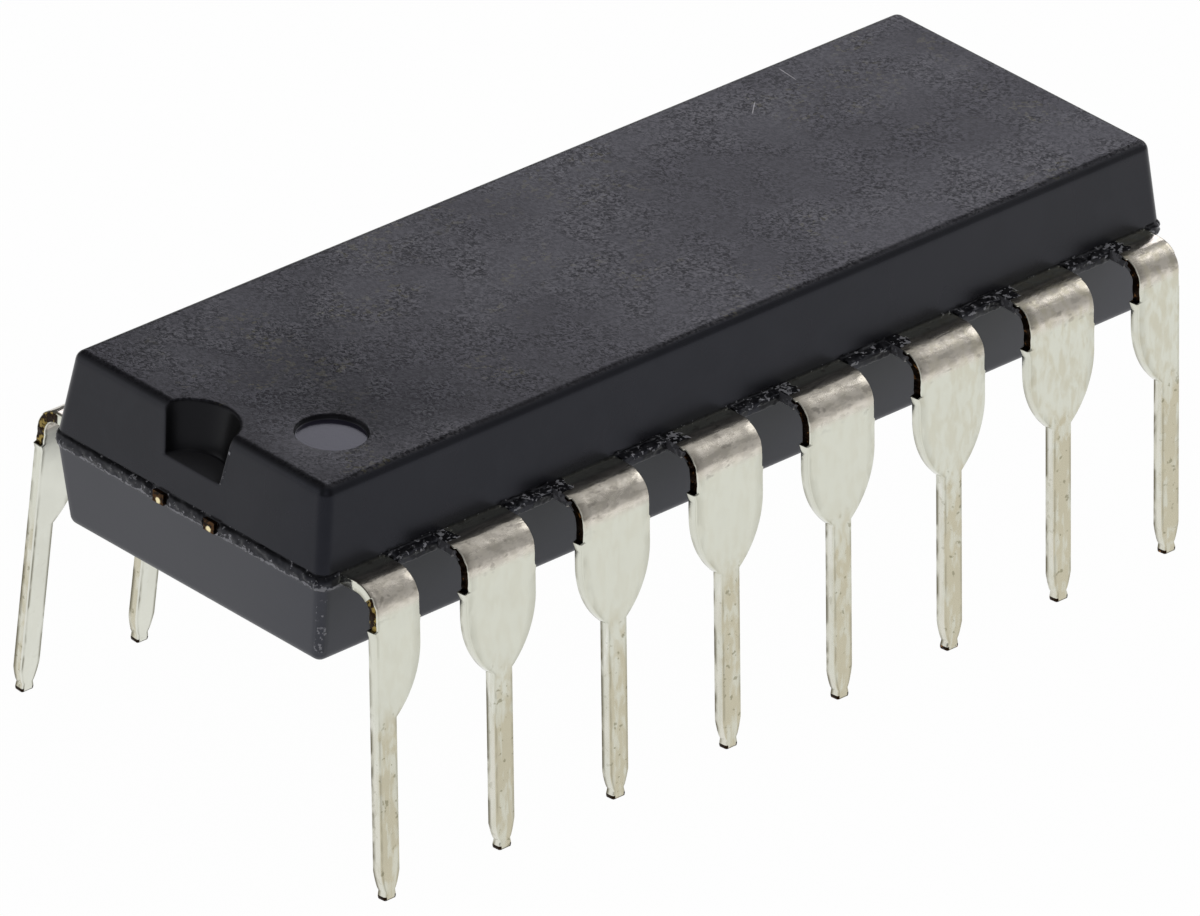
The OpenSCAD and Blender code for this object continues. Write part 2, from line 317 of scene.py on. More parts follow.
def body_outline(half_x, half_y, corner, bite, centre_x, rim):
    """Plan outline of the body at every level, anticlockwise seen from above: straight sides,
    quarter circles at the corners, and on the notched end the circle of radius bite about
    (centre_x, 0) between y = w and -w, where w^2 = bite^2 - (wall's step inside the centre)^2.
    A level with no bite keeps the straight wall there, with its points spread alike."""
    def at(x, y):
        return np.stack(np.broadcast_arrays(x, y), axis=-1)
    long_n, short_n, part_n, bite_n, rim_n, corner_n = 440, 146, 52, 34, 4, 8
    x, y, c = half_x, half_y, corner
    step = -x - centre_x
    open_r = np.abs(bite)
    w = np.sqrt(open_r ** 2 - step ** 2)
    first = np.arctan2(w, step) - rim / open_r
    wall_hi, wall_lo = at(-x, w + rim), at(-x, -w - rim)
    arc_hi = at(centre_x + open_r * np.cos(first), open_r * np.sin(first))
    arc_lo = arc_hi * [1, -1]
    curve_hi = corner_curve(wall_hi, at(-x, w), arc_hi, rim_n)
    bitten = arc(at(centre_x, 0 * x), open_r, first, -first, bite_n)
    curve_lo = corner_curve(arc_lo, at(-x, -w), wall_lo, rim_n)
    mouth = np.concatenate([curve_hi, bitten, curve_lo], axis=1)
    n = mouth.shape[1]
    straight = side(wall_hi, wall_lo, n)
    mouth = np.where((bite > 0)[:, None, None], mouth, straight)
    quarter = math.pi / 2
    return np.concatenate([
        side(at(-x + c, -y), at(x - c, -y), long_n),
        arc(at(x - c, -y + c), c, -quarter, 0, corner_n),
        side(at(x, -y + c), at(x, y - c), short_n),
        arc(at(x - c, y - c), c, 0, quarter, corner_n),
        side(at(x - c, y), at(-x + c, y), long_n),
        arc(at(-x + c, y - c), c, quarter, 2 * quarter, corner_n),
        side(at(-x, y - c), wall_hi, part_n),
        mouth,
        side(wall_lo, at(-x, -y + c), part_n),
        arc(at(-x + c, -y + c), c, 2 * quarter, 3 * quarter, corner_n),
    ], axis=1), (2 * long_n + short_n + 3 * corner_n + part_n, n)


def pocket(x, y, z, radius, depth, rim, sign):
    """Rings of a round pocket cut in a flat face: a rim rounded by a quarter circle, a drafted
    wall, a rounded foot and two rings on the floor. sign is 1 for a face that looks up."""
    turn = np.linspace(0, math.pi / 2, 5)
    r = np.concatenate([
        radius + rim * (1 - np.sin(turn)), radius - 0.03 * depth - rim * (1 - np.cos(turn)), [radius * 0.9]])
    d = np.concatenate([rim * (1 - np.cos(turn)), depth - rim * (1 - np.sin(turn)), [depth]])
    a = np.arange(96) / 96 * 2 * math.pi
    plan = r[:, None, None] * np.stack([np.cos(a), np.sin(a)], axis=-1) + [x, y]
    return np.concatenate([plan, np.repeat((z - sign * d)[:, None, None], len(a), axis=1)], axis=-1)


def edge_levels(p, z, up):
    """Levels of the moulded edge at the flat face at z, from the drafted wall on: a quarter
    circle, as rows of height, step in from the wall and radius of the upright edges."""
    seam_z, lean = FRAME_HIGH if up > 0 else FRAME_LOW, math.tan(p.draft)
    rows = []
    for a in np.linspace(p.draft, math.pi / 2, 9):
        level = z - up * p.edge * (1 - math.sin(a))
        inset = (abs(z - seam_z) - p.edge) * lean + p.edge / math.cos(p.draft) - p.edge * math.cos(a)
        rows.append((level, inset - abs(level - seam_z) * lean, max(p.edge * math.cos(a), 0.012 * MM)))
    return rows


def body_levels(p):
    """Every level of the shell from the underside up, in five arrays: height, step in from the
    drafted wall, radius of the upright edges, share of the seam's flash, and 1 where the notch
    is open."""
    low, high = BODY_LOW[2], BODY_HIGH[2]
    floor = high - p.notch_depth
    bottom, top = edge_levels(p, low, -1), edge_levels(p, high, 1)
    rows = [(low, bottom[-1][1] + SUPPORT, SHARPEST, 0, 0)]
    rows += [(*row, 0, 0) for row in reversed(bottom)]
    rows += [(z, 0, p.edge, 0, 0) for z in (low + p.edge + SUPPORT, FRAME_LOW - 0.09 * MM)]
    rows += [(FRAME_LOW + z * MM, 0, p.edge, out, 0) for z, out in SEAM_PROFILE]
    rows += [
        (z, 0, p.edge, 0, 0)
        for z in (FRAME_HIGH + 0.07 * MM, floor - 0.05 * MM, floor - 0.02 * MM, floor)]
    rows += [(floor + FOOT * (1 - math.cos(a)), 0, p.edge, 0, 1) for a in np.linspace(0, math.pi / 2, 4)]
    rows += [(z, 0, p.edge, 0, 1) for z in (floor + 0.1 * MM, high - p.edge - SUPPORT)]
    rows += [(*row, 0, 1) for row in top]
    rows.append((high, top[-1][1] + SUPPORT, SHARPEST, 0, 1))
    return np.array(rows).T


def notch_radii(p, z, bite):
    """Radius of the notch at every level: the draft narrows it downward, and quarter circles
    round its lip and its foot."""
    high, lip = BODY_HIGH[2], p.rim * 1.6
    radius = p.notch_radius - np.clip(high - z, 0, p.notch_depth) * math.tan(p.notch_draft)
    near_lip = np.clip(lip - (high - z), 0, None)
    radius = radius + lip - np.sqrt(np.maximum(lip ** 2 - near_lip ** 2, 0))
    radius[-1] = radius[-2] + SUPPORT
    near_foot = np.clip(FOOT - (z - (high - p.notch_depth)), 0, None)
    return radius - np.where(bite > 0, FOOT - np.sqrt(np.maximum(FOOT ** 2 - near_foot ** 2, 0)), 0)


def seam_mask(plan, half_x, half_y):
    """1 where the seam may stand out, 0 over the leads, and little round the tie bars' ends,
    which lie in small pits."""
    mask = np.ones(plan.shape[:2])
    on_side = np.abs(plan[..., 1]) > half_y - 0.3 * MM
    for c in range(1, PER_ROW + 1):
        left, right = (0.21 if c == end else 0.76 for end in (1, PER_ROW))
        dx = (plan[..., 0] - column_x(c)) / MM
        mask = mask * (1 - (dx > -left - 0.02) * (dx < right + 0.02) * on_side)
    tie = np.abs(np.abs(plan[..., 1]) - TIE_Y) < 0.17 * MM
    return mask * (1 - 0.85 * tie * (np.abs(plan[..., 0]) > half_x - 0.5 * MM))


def rough_seam(p, plan, z, out, outward, mask):
    """The walls' rings with the seam's flash: each point moves outward by its level's share of
    the flash times noise with chips broken out, and a little up or down."""
    here = np.concatenate([plan, np.broadcast_to(z[:, None, None], plan.shape[:2] + (1,))], axis=-1) / MM
    rough = 0.62 + 0.34 * grain(here * [1, 1, 1.6], 0.13, 3) + 0.3 * grain(here, 0.06, 11)
    chips = np.clip(grain(here * [1, 1, 0.4], 0.35, 23) * 2.2 - 0.9, 0, 1)
    rough = np.clip(rough - 0.5 * chips, 0.02, 0.97)
    shift = np.where(out[:, None] < 0, out[:, None] * (0.4 + 0.8 * rough), out[:, None] * rough)
    plan = plan + outward * (shift * mask * p.flash)[..., None]
    level = np.repeat(z[:, None], plan.shape[1], axis=1)
    level = level + (out[:, None] != 0) * mask * grain(here * [1, 1, 0], 0.16, 31) * 0.022 * MM
    return np.concatenate([plan, level[..., None]], axis=-1)


def wall_marks(p, z, out, bite, outward, mouth_at, mouth_n):
    """Marks on the walls, a value for each point. torn: pale crumbs on the seam's lower edge,
    pale flecks on the lower upright edges, and a painted highlight on one upright lip of the
    notch. pit: black painted shade of the groove and the pits along the seam. dark: 1 on the
    notch's wall, painted shade there, and -1 on its floor, painted light there."""
    low, high = BODY_LOW[2], BODY_HIGH[2]
    index = np.arange(outward.shape[1])
    # crumbs: pale chips on the seam; pits: black painted shade of its groove and pits.
    crumbs, pits = (
        (out != 0) * np.interp((z - FRAME_LOW) / MM, *table) for table in (CRUMBS_BY_HEIGHT, PIT_SHADE_BY_HEIGHT))
    heading = np.arctan2(outward[..., 1], outward[..., 0])
    on_corner = np.abs(heading % (math.pi / 2) - math.pi / 4) < 0.5
    in_mouth = (index > mouth_at) & (index < mouth_at + mouth_n)
    below = (z < FRAME_LOW - 0.1 * MM) & (z > low + p.edge)
    torn = np.maximum(crumbs[:, None], 0.55 * on_corner * ~in_mouth * below[:, None])
    # Painted highlight: pale flecks along one upright lip of the notch.
    from_lip = index - (mouth_at + mouth_n)
    beside_notch = (bite > 0) & (z < high - p.edge)
    torn = np.maximum(torn, 0.5 * ((from_lip > -6) & (from_lip < 1)) * beside_notch[:, None])
    # dark: painted shade on the notch's wall, painted light on its floor.
    dark = np.zeros(outward.shape[:2])
    inside = slice(mouth_at + 3, mouth_at + mouth_n - 2)
    dark[(bite > 0) & (z < high - 0.02 * MM), inside] = 1
    dark[np.isclose(z, high - p.notch_depth), inside] = -1
    return {"torn": torn, "pit": pits[:, None], "dark": dark}


class Shell:
    """Points, faces and marks of the body, gathered part by part."""

    def __init__(self):
        self.points, self.faces, self.total = [], [], 0
        self.marks = {key: [] for key in ("torn", "pit", "polish", "dark")}

    def add(self, rings, **marks):
        """Adds closed rings and the quads between them, and returns the first point's index."""
        first, shape = self.total, rings.shape[:2]
        self.points.append(rings.reshape(-1, 3))
        self.faces.append(tube_faces(*shape, first))
        for key, values in self.marks.items():
            values.append(np.broadcast_to(marks.get(key, 0.0), shape).ravel())
        self.total += shape[0] * shape[1]
        return first

    def flat_face(self, ring, first, pockets):
        """Fills a ring round its pockets, which are added with a floor each."""
        loops, index = [ring[:, :2]], [np.arange(len(ring)) + first]
        for rings, shine in pockets:
            around = np.arange(rings.shape[1])
            polish = np.zeros(rings.shape[:2])
            polish[-3:] = shine
            # The pocket's rim and wall get painted light: -0.5 in dark makes them paler.
            start = self.add(rings, polish=polish, dark=np.where(polish > 0, 0, -0.5))
            loops.append(rings[0][:, :2])
            index.append(around + start)
            self.faces.append((around + self.total - len(around))[None])
        self.faces.append(np.concatenate(index)[fill(loops)])


def body_mesh(p):
    """The body from closed parts. Levels of stacked plan outlines are its walls, which lean in
    by the draft from the seam; the flat faces are filled round their pockets; and slabs of
    flash lie between the leads."""
    half_x, half_y = BODY_HIGH[0] - p.flash, BODY_HIGH[1] - p.dam_flash
    low, high = BODY_LOW[2], BODY_HIGH[2]
    z, step, corner, out, bite = body_levels(p)
    inward = np.maximum(np.maximum(z - FRAME_HIGH, FRAME_LOW - z), 0) * math.tan(p.draft)
    radius = notch_radii(p, z, bite)
    plan, mouth = body_outline(
        half_x - inward - step, half_y - inward - step, corner,
        np.where(bite > 0, radius, -radius), -half_x, p.rim)
    # The wall's points over the notch's floor step in a little, so that its lip is rounded.
    lip = np.zeros(plan.shape[1])
    lip[mouth[0] + 1:sum(mouth)] = 1
    plan[np.isclose(z, high - p.notch_depth) & (bite == 0), :, 0] += lip * 0.02 * MM
    ahead = np.roll(plan, -1, axis=1) - np.roll(plan, 1, axis=1)
    length = np.linalg.norm(ahead, axis=-1, keepdims=True)
    outward = np.stack([ahead[..., 1], -ahead[..., 0]], axis=-1) / np.maximum(length, 1e-9)
    walls = rough_seam(p, plan, z, out, outward, seam_mask(plan, half_x, half_y))
    shell = Shell()
    shell.add(walls, **wall_marks(p, z, out, bite, outward, *mouth))
    dot = pocket(p.dot_from_end - half_x, -p.dot_from_middle, high, p.dot_radius, p.dot_depth, p.rim * 0.8, 1)
    ejectors = [
        pocket(end * 2 * half_x / 3, 0, low, p.ejector_radius, p.ejector_depth, 0.01 * MM, -1)
        for end in (-1, 1)]
    shell.flat_face(walls[-1], (len(walls) - 1) * plan.shape[1], [(dot, 1)])
    shell.flat_face(walls[0], 0, [(mark, 0.6) for mark in ejectors])
    on_top = slab_top(p)
    for row in (-1, 1):
        for column in range(1, PER_ROW):
            slab = dam_slab(p, column, row, half_y)
            # The flash's front and underside get painted light, a paler colour; its top gets some black
            # painted shade in the pits.
            first = shell.add(slab, torn=on_top * 0.3, pit=on_top * 0.25, dark=-0.8 * (1 - on_top))
            around = np.arange(slab.shape[1])
            shell.faces.append(np.stack([around, around[::-1] + (len(slab) - 1) * len(around)]) + first)
    floats = {key: np.concatenate(values) for key, values in shell.marks.items()}
    body = build("package_body", np.concatenate(shell.points), shell.faces, floats=floats)
    return finish_shells(body, 2e-8, math.radians(42))


def slab_section(p):
    """Section of the flash across the row: rounded rectangle from inside the wall outward,
    as distances out from the wall and up from the frame's underside."""
    t = np.linspace(0, 1, 9)
    reach = p.dam_flash
    r = 0.03 * MM
    turn = np.linspace(0, math.pi / 2, 4)
    inner = -0.15 * MM
    top = np.stack([inner + (reach - r - inner) * t, np.full(9, THICK)], axis=-1)
    upper = np.stack([reach - r + r * np.sin(turn), THICK - r + r * np.cos(turn)], axis=-1)[1:]
    face = np.stack([np.full(5, reach), np.linspace(THICK - r, r, 5)], axis=-1)[1:]
    lower = np.stack([reach - r + r * np.cos(turn), r - r * np.sin(turn)], axis=-1)[1:]
    under = np.stack([reach - r + (inner - reach + r) * t, np.zeros(9)], axis=-1)[1:]
    return np.concatenate([top, upper, face, lower, under])


def slab_top(p):
    """1 on the top and the upper edge of the flash, 0 on its smooth front and underside."""
    return (slab_section(p)[:, 1] > 0.6 * THICK) * 1.0


def dam_slab(p, column, row, half_y):
    """Flash between two shoulders: the section carried along X from close to the one lead to the
    other. Noise wears its top and its outer edge down, never past the frame's own thickness."""
    start, end = column_x(column) + SLAB_FROM, column_x(column + 1) - SLAB_TO
    x = start + np.linspace(0, 1, SLAB_STATIONS) * (end - start)
    reach = p.dam_flash
    out, up = slab_section(p).T
    grid = np.stack(np.broadcast_arrays(x[:, None], row * (half_y + out), FRAME_LOW + up), axis=-1)
    here = grid / MM
    wear = np.clip(0.35 + 0.5 * grain(here, 0.13, 41 + column) + 0.35 * grain(here, 0.055, 57), 0, 1.2)
    pit = np.clip(grain(here * [1, 1, 0.3], 0.2, 71 + column) * 2.4 - 0.8, 0, 1)
    top_weight = (up > THICK * 0.6) * np.clip(out / reach + 0.2, 0, 1)
    out_weight = np.clip((out - reach * 0.6) / (reach * 0.4), 0, 1)
    grid[..., 2] -= top_weight * (wear * 0.045 + pit * 0.07) * MM
    grid[..., 1] -= row * out_weight * (wear * 0.035 + pit * (up > THICK * 0.5) * 0.05) * MM
    ends = np.minimum(np.arange(SLAB_STATIONS), np.arange(SLAB_STATIONS)[::-1])
    round_end = np.clip(1 - ends / 3, 0, 1) ** 2
    grid[..., 1] -= row * round_end[:, None] * out_weight * 0.03 * MM
    return grid


# The leads.


def lead_section():
    """Unit description of the rounded rectangle round a lead: signs across and through, and
    the offsets of the corner circles. Returns four arrays, anticlockwise from the outer face."""
    turn = np.linspace(0, math.pi / 2, 4)
    across, through, off_a, off_t = [], [], [], []

    def add(a, t, oa, ot):
        across.append(a), through.append(t), off_a.append(oa), off_t.append(ot)
    for a in np.linspace(-1, 1, 9)[1:-1]:
        add(a, 1, 0, 1)
    for b in turn:
        add(1, 1, math.sin(b), math.cos(b))
    add(1, 0, 1, 0)
    for b in turn:
        add(1, -1, math.cos(b), -math.sin(b))
    for a in np.linspace(1, -1, 9)[1:-1]:
        add(a, -1, 0, -1)
    for b in turn:
        add(-1, -1, -math.sin(b), -math.cos(b))
    add(-1, 0, -1, 0)
    for b in turn:
        add(-1, 1, -math.cos(b), math.sin(b))
    return tuple(np.array(v) for v in (across, through, off_a, off_t))


class LeadLine:
    """Middle line of a lead: flat run, arc of the bend and splayed leg, with the distances along
    it from just inside the wall at which its parts end."""

    def __init__(self, p, wall_y):
        self.p = p
        self.radius, self.turn = p.bend + THICK / 2, math.pi / 2 - p.splay
        self.start = wall_y - 0.2 * MM
        self.run = wall_y + p.run_out - self.start
        self.bow = self.radius * self.turn
        leg = (FRAME_LOW - p.bend + p.bend * math.sin(p.splay)) / math.cos(p.splay)
        self.whole = self.run + self.bow + leg
        self.shear_top = self.run + self.radius * p.trim_angle
        self.inner_top = self.run + self.radius * p.trim_angle * 0.4
        self.shear_low = self.run + self.bow + p.trim_length
        self.taper_low = self.whole - p.blade_length
        self.taper_top = self.taper_low - p.taper

    def stations(self):
        """Distances of the sections, closest in the bend, the taper and the tip."""
        bend_low, tip = self.run + self.bow, self.p.tip_length
        shear = [self.inner_top, self.inner_top + SHEAR_STEP, self.shear_top, self.shear_top + SHEAR_STEP]
        shear += [self.shear_low - SHEAR_STEP, self.shear_low]
        burr = [self.shear_low + 0.03 * MM, self.shear_low + 0.07 * MM, self.shear_low + 0.12 * MM]
        return np.unique(np.concatenate([
            np.linspace(0, self.run, 12), np.linspace(self.run, bend_low, 30),
            np.linspace(bend_low, self.taper_top, 16), np.linspace(self.taper_top, self.taper_low, 26),
            np.linspace(self.taper_low, self.whole - tip, 46),
            np.linspace(self.whole - 1.2 * tip, self.whole, 30),
            shear, burr, [self.whole - 0.02 * MM]]).round(9))

    def place(self, s):
        """Angle round the bend, distance out and height at distances s."""
        theta = np.clip((s - self.run) / self.radius, 0, self.turn)
        flat, down = np.minimum(s, self.run), np.clip(s - self.run - self.bow, 0, None)
        y = -(self.start + flat + self.radius * np.sin(theta) + down * math.sin(self.p.splay))
        z = FRAME_LOW - self.p.bend + self.radius * np.cos(theta) - down * math.cos(self.p.splay)
        return theta, y, np.where(s < self.run, (FRAME_HIGH + FRAME_LOW) / 2, z)

    def half_width(self, s, rng, point, shouldered, shear, top):
        """Half width to one side at distances s: point, blade, the taper's arc and shoulder,
        less the shear below top, plus the burr where the shear ends."""
        p, from_tip = self.p, self.whole - s
        full, half_blade = p.shoulder / 2, p.blade / 2
        deep = full - half_blade
        arc_radius = (p.taper ** 2 + deep ** 2) / (2 * deep)
        along = np.clip(s - self.taper_top, 0, p.taper)
        tapered = np.sqrt(np.maximum(arc_radius ** 2 - along ** 2, 0)) - (arc_radius - full)
        width = np.where(shouldered, tapered, half_blade)
        cut = (s > top + SHEAR_STEP / 2) & (s < self.shear_low - SHEAR_STEP / 2)
        burr = np.clip(1 - (s - self.shear_low) / (0.12 * MM), 0, 1) * (s >= self.shear_low)
        burr = burr * shear * rng.uniform(1.0, 1.6) * (shouldered | (shear > 0.02 * MM))
        width = width - cut * shear + burr
        narrow, wing = p.tip / 2 * rng.uniform([1.1, 1.2], [1.2, 1.45])
        grow = np.clip((from_tip - NECK) / (self.whole - point - NECK), 0, 1) ** 0.6
        stub = np.interp(from_tip, [STUB, NECK], [wing, narrow])
        return np.where(from_tip > NECK, narrow + (width - narrow) * grow, stub)


def lead_marks(line, s, theta, section, row, outer, sheared):
    """Marks for the finish, a value for each point. bare: cut through the plating. film: flash
    left on the flat run. rim: edges that hold dirt, and the flanks' back edges, darkened there as
    painted shade. inner and flank: the face towards the package and the sides. worn: how far
    tarnish takes, least on the inner face."""
    a, t, off_a, off_t = section
    from_tip = line.whole - s
    # The outer side of a front corner lead is bare only where it is sheared, every other side
    # also where the dam bar was cut off before the bend.
    near_wall = (s > 0.95 * line.run) & (s < line.shear_low)
    left, right = (cut if corner and row < 0 else near_wall for corner, cut in zip(outer, sheared))
    bare = (off_a < -0.93) * left[:, None] * 1.0 + (off_a > 0.93) * right[:, None]
    bare = np.maximum(bare, 0.42 * (from_tip < 0.02 * MM)[:, None])
    bare = np.maximum(bare, 0.8 * (np.abs(a) > 0.9) * (from_tip < STUB)[:, None])
    film = ((a < -0.6) & (t > -0.5)) * (s < line.run * 0.92)[:, None]
    film = np.maximum(film, (off_a < -0.8) * (theta[:, None] < 0.45 - 0.3 * t))
    if outer[0]:
        # A dark line parts the plated stretch before the shear from the face of the bend.
        beside = (off_a < -0.3) & (off_a > -0.9) & (t > 0)
        bare = np.maximum(bare, 0.45 * beside * ((theta > 0) & (s < line.shear_top))[:, None])
        film = film * 0.0
    rim = ((np.abs(a) > 0.9) & (np.abs(off_a) < 0.1)) * (1.3 if row > 0 else 0.6)
    # Painted shade: a dark line along the back edge of each flank.
    rim = np.where((np.abs(off_a) > 0.5) & (t * row > 0), 1.6, rim)
    inner = (off_t < -0.5) | ((t < 0) & (np.abs(a) < 0.9))
    flank = np.abs(off_a) > 0.8
    worn = np.where(inner, 0.08, np.where(flank, 0.8 if row > 0 else 0.35, 0.9))
    marks = {"bare": bare, "film": film, "rim": rim, "inner": inner, "worn": worn, "flank": flank}
    return {key: np.broadcast_to(values, bare.shape).ravel() for key, values in marks.items()}


def lead_uv(u, v, tip_mm, quads):
    """Map of the formed part in millimetres, a row for each corner of the quads and then of the
    end caps: round the section across, and the distance from the tip along."""
    n = u.shape[1]
    ring = np.concatenate([[0], np.cumsum(np.hypot(np.diff(u[len(u) // 3]), np.diff(v[len(u) // 3])))])
    ring = np.append(ring, ring[-1] + 0.02 * MM) / MM
    i, j = quads[:, 0] // n, quads[:, 0] % n
    sides = np.stack([
        np.stack([ring[j + across], tip_mm[i + along]], -1)
        for across, along in ((0, 0), (1, 0), (1, 1), (0, 1))], axis=1)
    caps = np.zeros((2, n, 2))
    caps[..., 0], caps[0, :, 1], caps[1, :, 1] = ring[:n], tip_mm[0], tip_mm[-1]
    return [sides.reshape(-1, 2), caps.reshape(-1, 2)]


def lead_mesh(p, number, row, column, wall_y):
    """Formed part of a lead: a rounded rectangle carried along the middle line. Returns points,
    faces, map and marks."""
    rng = np.random.default_rng(100 + number)
    line = LeadLine(p, wall_y)
    s = line.stations()
    theta, y, z = line.place(s)
    from_tip = line.whole - s
    outer = column == 1, column == PER_ROW
    tops = [line.shear_top if corner else line.inner_top for corner in outer]
    sheared = [(s > top) & (s < line.shear_low) for top in tops]
    depths = p.trim_depth * (0.6 if outer[0] else 1), p.trim_depth * 0.3
    points_at = line.whole - p.tip_length * rng.uniform(1.0, 1.2, 2)
    left, right = (
        line.half_width(s, rng, point, not corner, depth, top)
        for point, corner, depth, top in zip(points_at, outer, depths, tops))
    torn = 0.012 * MM * grain(np.stack([s / MM, s * 0 + number, s * 0], axis=-1), 0.09, number)
    left, right = left + torn * sheared[0], right - torn * sheared[1] * 0.5
    edge = np.minimum(p.edge, 0.4 * np.minimum(left, right))
    close = np.clip((s - (line.whole - 0.03 * MM)) / (0.03 * MM), 0, 1) * 0.006 * MM
    half_thick = THICK / 2 * np.interp(from_tip, [STUB, NECK, 0.45 * MM], [0.95, 0.88, 1.0]) - close
    section = a, t, off_a, off_t = lead_section()
    width = np.where(a < 0, (left - close)[:, None], (right - close)[:, None]) - edge[:, None]
    u = a * width + off_a * edge[:, None]
    v = t * (half_thick - edge)[:, None] + off_t * edge[:, None]
    points = np.stack([
        column_x(column) + u, -row * (y[:, None] - np.sin(theta)[:, None] * v),
        np.maximum(z[:, None] + np.cos(theta)[:, None] * v, 0)], axis=-1)
    n = len(a)
    quads = tube_faces(len(s), n)
    caps = np.stack([np.arange(n)[::-1], np.arange(n) + (len(s) - 1) * n])
    marks = lead_marks(line, s, theta, section, row, outer, sheared)
    return points.reshape(-1, 3), [quads, caps], lead_uv(u, v, from_tip / MM, quads), marks


def prism(loops, z_low, z_high, first):
    """Flat plate between two levels: its points, and the filled outline below and above with
    its side walls as faces."""
    flat = np.concatenate(loops)
    n = len(flat)
    triangles = fill(loops)
    points = np.concatenate([np.column_stack([flat, np.full(n, z)]) for z in (z_low, z_high)])
    faces = [np.concatenate([triangles[:, ::-1] + first, triangles + n + first])]
    walls, start = [], first
    for loop in loops:
        k = np.arange(len(loop))
        following = (k + 1) % len(loop)
        walls.append(np.stack([k, following, following + n, k + n], axis=-1) + start)
        start += len(loop)
    return points, faces + [np.concatenate(walls)]


def strip(path, width):
    """Outline of a flat strip along a path: each corner moves sideways along its mitre."""
    path = np.asarray(path, float)
    run = np.diff(path, axis=0)
    normal = np.stack([-run[:, 1], run[:, 0]], axis=-1) / np.linalg.norm(run, axis=1)[:, None]
    before, after = np.vstack([normal[:1], normal]), np.vstack([normal, normal[-1:]])
    mitre = (before + after) / (1 + (before * after).sum(axis=1, keepdims=True))
    return np.concatenate([path - mitre * width / 2, (path + mitre * width / 2)[::-1]])


def finger_path(column, wall_y, p):
    """Middle line of the bonding finger of a column of the first quarter, in millimetres. The
    fingers of columns 1 and 2 turn into two lanes beside the die pad."""
    x = column_x(column) / MM
    start = -(wall_y / MM - 0.325)
    near_lane, far_lane = -1.045, -1.505
    if column == 1:
        x += HALF_MIDDLE
        return [(x, start), (x, near_lane - 0.6), (x + 0.6, near_lane), (-2.25, near_lane)]
    if column == 2:
        return [(x, start), (x, far_lane - 0.6), (x + 0.6, far_lane), (-2.6, far_lane)]
    if column == 3:
        return [(x, start), (x, -((wall_y - p.anchor) / MM - 0.07)), (-1.95, -1.69)]
    return [(x, start), (x, -1.55)]


def anchor_and_finger(p, row, column, wall_y, first):
    """Flat parts inside the moulding: the anchor with its locking hole, and the finger. They are
    laid out for the first quarter and mirrored."""
    quarter = min(column, PER_ROW + 1 - column)
    flip = -1 if column > PER_ROW / 2 else 1
    x = column_x(quarter)
    x_left, x_right = x - (p.blade if quarter == 1 else p.shoulder) / 2, x + p.shoulder / 2
    hole_x = x + (HALF_MIDDLE * MM if quarter == 1 else 0)
    y_in, y_out, y_hole = -(wall_y - p.anchor), -(wall_y - 0.1 * MM), -(wall_y - p.anchor / 2)
    anchor = np.array([(x_left, y_out), (x_right, y_out), (x_right, y_in), (x_left, y_in)])
    a = np.arange(48) / 48 * 2 * math.pi
    hole = np.stack([hole_x + LOCK_HOLE * np.cos(a), y_hole + LOCK_HOLE * np.sin(a)], axis=-1)
    finger = strip(np.array(finger_path(quarter, wall_y, p)) * MM, FINGER)
    finger[np.isclose(finger[:, 1], finger[:, 1].min()), 1] = y_in - 0.02 * MM
    points, faces = [], []
    for loops in ([anchor, hole], [finger]):
        plate, plate_faces = prism([loop * [flip, -row] for loop in loops], FRAME_LOW, FRAME_HIGH, first)
        first += len(plate)
        points.append(plate)
        faces += plate_faces
    return np.concatenate(points), faces


def lead_object(p, number, wall_y):
    """A whole lead as one piece: the formed part and the flat parts inside the moulding. Leads
    count along the front row and back along the other."""
    row, column = (-1, number) if number <= PER_ROW else (1, 2 * PER_ROW + 1 - number)
    formed, faces, uv, marks = lead_mesh(p, number, row, column, wall_y)
    inside, inside_faces = anchor_and_finger(p, row, column, wall_y, len(formed))
    points = np.concatenate([formed, inside])
    uv += [(points[f.ravel()] / MM)[:, :2] for f in inside_faces]
    marks = {key: np.append(values, np.zeros(len(inside))) for key, values in marks.items()}
    obj = build(f"lead_{number}_formed", points, faces + inside_faces, uv=np.concatenate(uv), floats=marks)
    return finish_shells(obj, 1e-8, math.radians(45))


# Materials.


class Tree:
    """A node tree with short calls for the nodes that the finishes and the stage use."""

    def __init__(self, tree):
        self.tree = tree

    def node(self, kind, values=None, **settings):
        n = self.tree.nodes.new(kind)
        for key, value in settings.items():
            setattr(n, key, value)
        for key, value in (values or {}).items():
            if isinstance(value, bpy.types.NodeSocket):
                self.tree.links.new(value, n.inputs[key])
            else:
                n.inputs[key].default_value = value
        return n

    def link(self, source, target):
        self.tree.links.new(source, target)

    def math(self, operation, a, b=0.0, c=0.0):
        n = self.node("ShaderNodeMath", operation=operation)
        for socket, value in zip(n.inputs, (a, b, c)):
            if isinstance(value, bpy.types.NodeSocket):
                self.tree.links.new(value, socket)
            else:
                socket.default_value = value
        return n.outputs[0]

    def add(self, a, b):
        return self.math("ADD", a, b)

    def times(self, a, b):
        return self.math("MULTIPLY", a, b)

    def times_add(self, a, b, c):
        return self.math("MULTIPLY_ADD", a, b, c)

    def larger(self, a, b):
        return self.math("MAXIMUM", a, b)

    def without(self, a):
        """1 - a."""
        return self.math("SUBTRACT", 1.0, a)


